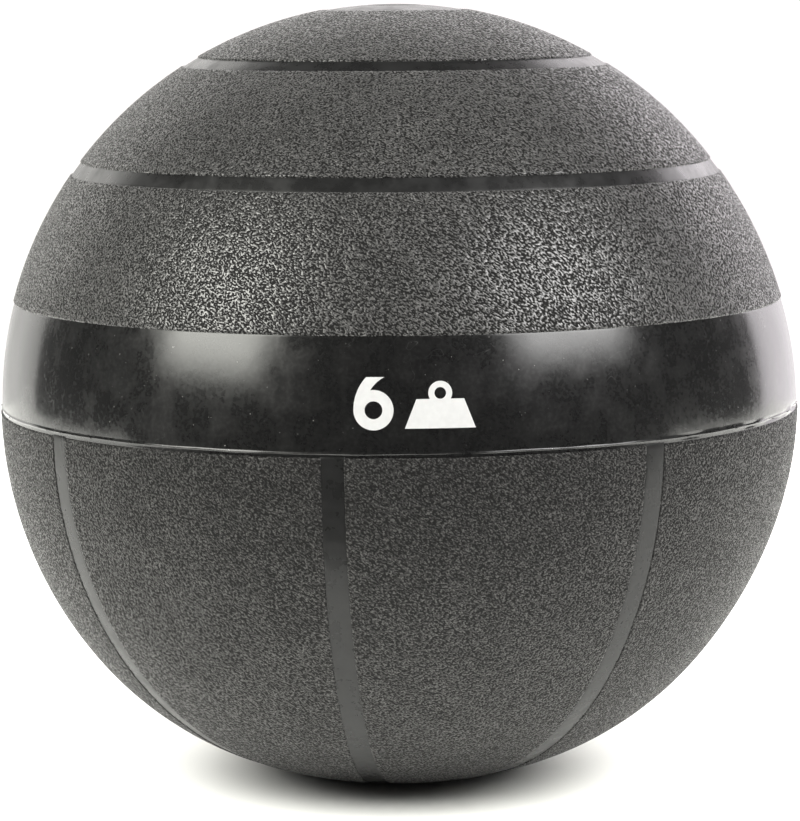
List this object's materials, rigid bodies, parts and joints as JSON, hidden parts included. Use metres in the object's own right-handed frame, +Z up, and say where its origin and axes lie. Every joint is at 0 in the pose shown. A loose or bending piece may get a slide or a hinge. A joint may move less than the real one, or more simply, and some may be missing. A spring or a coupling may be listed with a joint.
{
  "type": "medicine ball",
  "caption": "Heavy rubber medicine ball with grippy textured panels, smooth strips, a glossy girth band and a flat it rests on.",
  "frame": {"origin": "on the floor, at the middle of the flat that the ball rests on", "axes": "+Z up through the two smooth end discs, -Y towards the printed mark, +X to the right of someone facing the mark"},
  "size_m": [0.23, 0.23, 0.2233],
  "materials": {
    "textured_rubber": "matte",
    "gloss_rubber": "gloss",
    "smooth_rubber": "satin",
    "carcass_rubber": "matte",
    "bladder_rubber": "satin",
    "sand": "matte",
    "plug_plastic": "satin",
    "white_ink": "satin"
  },
  "bodies": {
    "ball": {"girth_band": "gloss_rubber", "lower_ring_strip": "smooth_rubber", "upper_ring_strip": "smooth_rubber", "shoulder_panel": "textured_rubber", "middle_panel": "textured_rubber", "crown_panel": "textured_rubber", "crown_disc": "smooth_rubber", "lower_strip_1": "smooth_rubber", "lower_panel_1": "textured_rubber", "lower_strip_2": "smooth_rubber", "lower_panel_2": "textured_rubber", "lower_strip_3": "smooth_rubber", "lower_panel_3": "textured_rubber", "lower_strip_4": "smooth_rubber", "lower_panel_4": "textured_rubber", "lower_strip_5": "smooth_rubber", "lower_panel_5": "textured_rubber", "lower_strip_6": "smooth_rubber", "lower_panel_6": "textured_rubber", "lower_strip_7": "smooth_rubber", "lower_panel_7": "textured_rubber", "lower_strip_8": "smooth_rubber", "lower_panel_8": "textured_rubber", "base_disc": "smooth_rubber", "carcass_upper": "carcass_rubber", "carcass_lower": "carcass_rubber", "inner_bladder": "bladder_rubber", "sand_fill": "sand", "filler_neck": "carcass_rubber", "weight_numeral": "white_ink", "weight_symbol": "white_ink"},
    "plug": {"filler_plug": "plug_plastic"}
  },
  "joints": [
    {"name": "plug_pull", "type": "slide", "parent": "ball", "child": "plug", "axis": [0, 0, 1], "range_m": [0, 0.03]}
  ]
}
